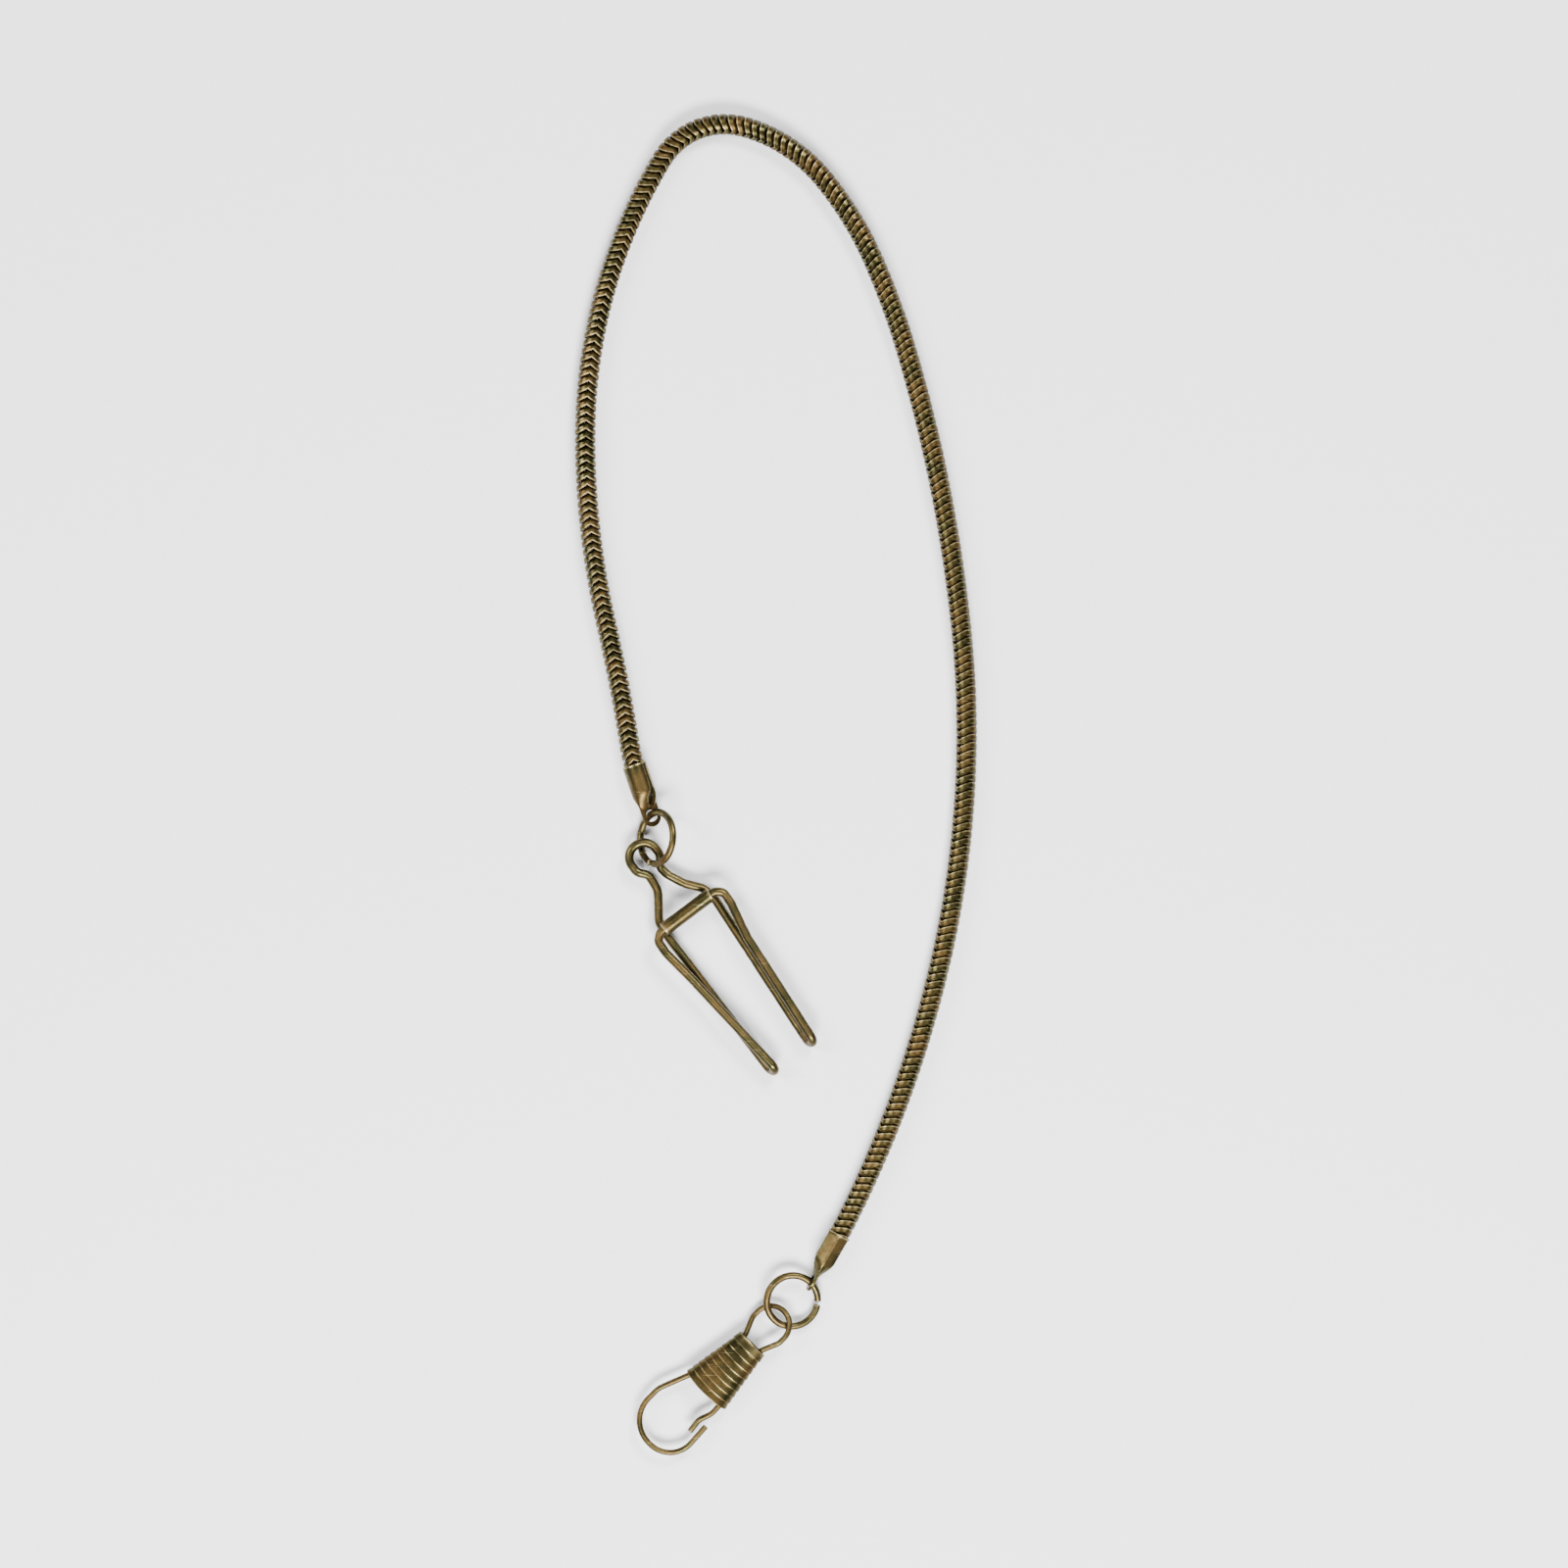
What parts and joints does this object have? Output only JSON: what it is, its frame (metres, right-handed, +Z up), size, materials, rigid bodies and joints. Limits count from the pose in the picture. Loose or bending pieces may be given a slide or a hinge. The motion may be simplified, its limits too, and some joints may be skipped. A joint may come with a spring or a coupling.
{
  "type": "pocket watch chain",
  "caption": "Round snake chain with a sprung wire belt clip at one end and a spring clasp with a ribbed sleeve at the other, joined by jump rings.",
  "frame": {"origin": "on the table under the middle of the whole laid-out chain", "axes": "+Z up from the table, +Y from the two ends towards the bend at the top of the lay, +X towards the strand that carries the clasp"},
  "size_m": [0.0614, 0.2048, 0.0072],
  "materials": {
    "chain_links": "satin antique brass, dark in the gaps",
    "spring_wire": "antique brass plated spring wire, scratched",
    "folded_sheet": "satin antique brass, worn bright on the edges",
    "ring_wire": "antique brass, polished by wear"
  },
  "bodies": {
    "belt_clip_back": {"clip_back_legs": "spring_wire"},
    "belt_clip_front": {"clip_front_leg_left": "spring_wire", "clip_front_leg_right": "spring_wire", "clip_sleeve": "spring_wire"},
    "clip_ring": {"jump_ring_clip": "ring_wire"},
    "chain_01": {"end_cap_clip": "folded_sheet", "chain_run_01": "chain_links"},
    "chain_02": {"chain_run_02": "chain_links"},
    "chain_03": {"chain_run_03": "chain_links"},
    "chain_04": {"chain_run_04": "chain_links"},
    "chain_05": {"chain_run_05": "chain_links"},
    "chain_06": {"chain_run_06": "chain_links"},
    "chain_07": {"chain_run_07": "chain_links"},
    "chain_08": {"chain_run_08": "chain_links"},
    "chain_09": {"chain_run_09": "chain_links"},
    "chain_10": {"chain_run_10": "chain_links"},
    "chain_11": {"chain_run_11": "chain_links"},
    "chain_12": {"chain_run_12": "chain_links"},
    "chain_13": {"chain_run_13": "chain_links"},
    "chain_14": {"chain_run_14": "chain_links"},
    "chain_15": {"chain_run_15": "chain_links"},
    "chain_16": {"chain_run_16": "chain_links"},
    "chain_17": {"chain_run_17": "chain_links"},
    "chain_18": {"chain_run_18": "chain_links"},
    "chain_19": {"chain_run_19": "chain_links"},
    "chain_20": {"chain_run_20": "chain_links"},
    "chain_21": {"chain_run_21": "chain_links"},
    "chain_22": {"chain_run_22": "chain_links"},
    "chain_23": {"chain_run_23": "chain_links"},
    "chain_24": {"chain_run_24": "chain_links"},
    "chain_25": {"chain_run_25": "chain_links"},
    "chain_26": {"chain_run_26": "chain_links"},
    "chain_27": {"chain_run_27": "chain_links"},
    "chain_28": {"chain_run_28": "chain_links"},
    "chain_29": {"chain_run_29": "chain_links"},
    "chain_30": {"chain_run_30": "chain_links"},
    "chain_31": {"chain_run_31": "chain_links"},
    "chain_32": {"chain_run_32": "chain_links"},
    "chain_33": {"chain_run_33": "chain_links"},
    "chain_34": {"chain_run_34": "chain_links"},
    "chain_35": {"chain_run_35": "chain_links"},
    "chain_36": {"chain_run_36": "chain_links"},
    "chain_37": {"chain_run_37": "chain_links"},
    "chain_38": {"chain_run_38": "chain_links"},
    "chain_39": {"chain_run_39": "chain_links"},
    "chain_40": {"chain_run_40": "chain_links", "end_cap_clasp": "folded_sheet"},
    "clasp_ring": {"jump_ring_clasp": "ring_wire"},
    "clasp": {"clasp_hook": "spring_wire", "clasp_sleeve": "folded_sheet"},
    "gate": {"clasp_gate": "spring_wire"}
  },
  "joints": [
    {"name": "clip_spring", "type": "hinge", "parent": "belt_clip_back", "child": "belt_clip_front", "pos_m": [-0.00028, -0.04373, 0.00213], "axis": [0.7986, 0.6018, 0], "range_deg": [0, 10], "stiffness_Nm_per_rad": 0.05, "springref_deg": -5.73},
    {"name": "clip_eye_swing", "type": "hinge", "parent": "belt_clip_back", "child": "clip_ring", "pos_m": [-0.0215, -0.00933, 0.00224], "axis": [0.7986, 0.6018, 0], "range_deg": [-40, 4]},
    {"name": "clip_cap_swing", "type": "hinge", "parent": "clip_ring", "child": "chain_01", "pos_m": [-0.01909, -0.00462, 0.0021], "axis": [-0.6059, -0.4391, -0.6634], "range_deg": [-40, 40]},
    {"name": "clasp_cap_swing", "type": "hinge", "parent": "chain_40", "child": "clasp_ring", "pos_m": [0.00541, -0.07622, 0.0017], "axis": [-0.6516, 0.7313, 0.2017], "range_deg": [-40, 40]},
    {"name": "clasp_loop_swing", "type": "hinge", "parent": "clasp_ring", "child": "clasp", "pos_m": [-0.00096, -0.08076, 0.00228], "axis": [0.4535, -0.8722, -0.1836], "range_deg": [0, 36]},
    {"name": "gate_spring", "type": "hinge", "parent": "clasp", "child": "gate", "pos_m": [-0.00689, -0.09261, 0.00223], "axis": [0, 0, -1], "range_deg": [0, 22], "stiffness_Nm_per_rad": 0.002, "springref_deg": -5.73},
    {"name": "chain_bend_01", "type": "hinge", "parent": "chain_01", "child": "chain_02", "pos_m": [-0.02271, 0.00845, 0.00185], "axis": [0.0859, 0.015, 0.9962], "range_deg": [-25, 25]},
    {"name": "chain_bend_02", "type": "hinge", "parent": "chain_02", "child": "chain_03", "pos_m": [-0.02473, 0.01918, 0.00185], "axis": [-0.9765, -0.1969, 0.0872], "range_deg": [-25, 25]},
    {"name": "chain_bend_03", "type": "hinge", "parent": "chain_03", "child": "chain_04", "pos_m": [-0.02552, 0.02282, 0.00185], "axis": [0.085, 0.0195, 0.9962], "range_deg": [-15, 25]},
    {"name": "chain_bend_04", "type": "hinge", "parent": "chain_04", "child": "chain_05", "pos_m": [-0.02765, 0.03353, 0.00185], "axis": [-0.9822, -0.1661, 0.0872], "range_deg": [-25, 25]},
    {"name": "chain_bend_05", "type": "hinge", "parent": "chain_05", "child": "chain_06", "pos_m": [-0.02816, 0.03721, 0.00185], "axis": [-0.0866, -0.0096, -0.9962], "range_deg": [-25, 12]},
    {"name": "chain_bend_06", "type": "hinge", "parent": "chain_06", "child": "chain_07", "pos_m": [-0.02905, 0.04809, 0.00185], "axis": [0.9948, 0.0521, -0.0872], "range_deg": [-25, 25]},
    {"name": "chain_bend_07", "type": "hinge", "parent": "chain_07", "child": "chain_08", "pos_m": [-0.02913, 0.05181, 0.00185], "axis": [-0.0872, 0.0005, -0.9962], "range_deg": [-25, 9]},
    {"name": "chain_bend_08", "type": "hinge", "parent": "chain_08", "child": "chain_09", "pos_m": [-0.02859, 0.06271, 0.00185], "axis": [0.9918, -0.0937, -0.0872], "range_deg": [-25, 25]},
    {"name": "chain_bend_09", "type": "hinge", "parent": "chain_09", "child": "chain_10", "pos_m": [-0.02808, 0.0664, 0.00185], "axis": [0.1187, -0.022, 0.9927], "range_deg": [-6, 25]},
    {"name": "chain_bend_10", "type": "hinge", "parent": "chain_10", "child": "chain_11", "pos_m": [-0.02561, 0.07703, 0.00185], "axis": [-0.942, 0.263, 0.2084], "range_deg": [-25, 25]},
    {"name": "chain_bend_11", "type": "hinge", "parent": "chain_11", "child": "chain_12", "pos_m": [-0.02445, 0.08057, 0.00185], "axis": [0.3082, -0.1165, 0.9442], "range_deg": [-25, 25]},
    {"name": "chain_bend_12", "type": "hinge", "parent": "chain_12", "child": "chain_13", "pos_m": [-0.02014, 0.09059, 0.00185], "axis": [-0.7986, 0.3861, 0.4617], "range_deg": [-25, 25]},
    {"name": "chain_bend_13", "type": "hinge", "parent": "chain_13", "child": "chain_14", "pos_m": [-0.01838, 0.09387, 0.00185], "axis": [-0.5015, 0.3001, -0.8115], "range_deg": [-25, 25]},
    {"name": "chain_bend_14", "type": "hinge", "parent": "chain_14", "child": "chain_15", "pos_m": [-0.0103, 0.10073, 0.00185], "axis": [0.2694, -0.6803, -0.6816], "range_deg": [-25, 25]},
    {"name": "chain_bend_15", "type": "hinge", "parent": "chain_15", "child": "chain_16", "pos_m": [-0.00652, 0.10092, 0.00185], "axis": [0.2038, 0.7155, -0.6683], "range_deg": [-25, 25]},
    {"name": "chain_bend_16", "type": "hinge", "parent": "chain_16", "child": "chain_17", "pos_m": [0.00335, 0.0964, 0.00185], "axis": [-0.3529, -0.5372, -0.766], "range_deg": [-25, 25]},
    {"name": "chain_bend_17", "type": "hinge", "parent": "chain_17", "child": "chain_18", "pos_m": [0.00613, 0.09391, 0.00185], "axis": [-0.5928, -0.4852, 0.6428], "range_deg": [-25, 25]},
    {"name": "chain_bend_18", "type": "hinge", "parent": "chain_18", "child": "chain_19", "pos_m": [0.01244, 0.08502, 0.00185], "axis": [0.5481, 0.3359, 0.766], "range_deg": [-25, 25]},
    {"name": "chain_bend_19", "type": "hinge", "parent": "chain_19", "child": "chain_20", "pos_m": [0.01417, 0.08172, 0.00185], "axis": [-0.7014, -0.3079, 0.6428], "range_deg": [-25, 25]},
    {"name": "chain_bend_20", "type": "hinge", "parent": "chain_20", "child": "chain_21", "pos_m": [0.01824, 0.07159, 0.00185], "axis": [0.6036, 0.2209, 0.766], "range_deg": [-25, 25]},
    {"name": "chain_bend_21", "type": "hinge", "parent": "chain_21", "child": "chain_22", "pos_m": [0.01941, 0.06806, 0.00185], "axis": [0.7345, 0.2176, -0.6428], "range_deg": [-25, 25]},
    {"name": "chain_bend_22", "type": "hinge", "parent": "chain_22", "child": "chain_23", "pos_m": [0.02234, 0.05754, 0.00185], "axis": [-0.6217, -0.1631, -0.766], "range_deg": [-25, 25]},
    {"name": "chain_bend_23", "type": "hinge", "parent": "chain_23", "child": "chain_24", "pos_m": [0.02323, 0.05393, 0.00185], "axis": [0.7467, 0.171, -0.6428], "range_deg": [-25, 25]},
    {"name": "chain_bend_24", "type": "hinge", "parent": "chain_24", "child": "chain_25", "pos_m": [0.0255, 0.04324, 0.00185], "axis": [-0.6308, -0.1238, -0.766], "range_deg": [-25, 25]},
    {"name": "chain_bend_25", "type": "hinge", "parent": "chain_25", "child": "chain_26", "pos_m": [0.02616, 0.03958, 0.00185], "axis": [-0.756, -0.1238, 0.6428], "range_deg": [-25, 25]},
    {"name": "chain_bend_26", "type": "hinge", "parent": "chain_26", "child": "chain_27", "pos_m": [0.02775, 0.02878, 0.00185], "axis": [0.6373, 0.0839, 0.766], "range_deg": [-25, 25]},
    {"name": "chain_bend_27", "type": "hinge", "parent": "chain_27", "child": "chain_28", "pos_m": [0.02818, 0.02508, 0.00185], "axis": [-0.7623, -0.0761, 0.6428], "range_deg": [-25, 25]},
    {"name": "chain_bend_28", "type": "hinge", "parent": "chain_28", "child": "chain_29", "pos_m": [0.02901, 0.0142, 0.00185], "axis": [0.6419, 0.0336, 0.766], "range_deg": [-25, 25]},
    {"name": "chain_bend_29", "type": "hinge", "parent": "chain_29", "child": "chain_30", "pos_m": [0.02912, 0.01048, 0.00185], "axis": [0.766, 0.004, -0.6428], "range_deg": [-25, 25]},
    {"name": "chain_bend_30", "type": "hinge", "parent": "chain_30", "child": "chain_31", "pos_m": [0.02892, -0.00044, 0.00185], "axis": [-0.6422, 0.0269, -0.766], "range_deg": [-25, 25]},
    {"name": "chain_bend_31", "type": "hinge", "parent": "chain_31", "child": "chain_32", "pos_m": [0.02867, -0.00415, 0.00185], "axis": [0.763, -0.0681, -0.6428], "range_deg": [-25, 25]},
    {"name": "chain_bend_32", "type": "hinge", "parent": "chain_32", "child": "chain_33", "pos_m": [0.02745, -0.015, 0.00185], "axis": [-0.6368, 0.0872, -0.766], "range_deg": [-25, 25]},
    {"name": "chain_bend_33", "type": "hinge", "parent": "chain_33", "child": "chain_34", "pos_m": [0.02686, -0.01867, 0.00185], "axis": [-0.7532, 0.1396, 0.6428], "range_deg": [-25, 25]},
    {"name": "chain_bend_34", "type": "hinge", "parent": "chain_34", "child": "chain_35", "pos_m": [0.02462, -0.02936, 0.00185], "axis": [0.6258, -0.1468, 0.766], "range_deg": [-25, 25]},
    {"name": "chain_bend_35", "type": "hinge", "parent": "chain_35", "child": "chain_36", "pos_m": [0.02369, -0.03296, 0.00185], "axis": [-0.7378, 0.206, 0.6428], "range_deg": [-25, 25]},
    {"name": "chain_bend_36", "type": "hinge", "parent": "chain_36", "child": "chain_37", "pos_m": [0.02053, -0.04341, 0.00185], "axis": [0.6113, -0.1986, 0.766], "range_deg": [-25, 25]},
    {"name": "chain_bend_37", "type": "hinge", "parent": "chain_37", "child": "chain_38", "pos_m": [0.01931, -0.04693, 0.00185], "axis": [0.718, -0.267, -0.6428], "range_deg": [-25, 25]},
    {"name": "chain_bend_38", "type": "hinge", "parent": "chain_38", "child": "chain_39", "pos_m": [0.01529, -0.05708, 0.00185], "axis": [-0.5926, 0.2491, -0.766], "range_deg": [-25, 25]},
    {"name": "chain_bend_39", "type": "hinge", "parent": "chain_39", "child": "chain_40", "pos_m": [0.01378, -0.06048, 0.00185], "axis": [0.6931, -0.3262, -0.6428], "range_deg": [-25, 25]}
  ]
}
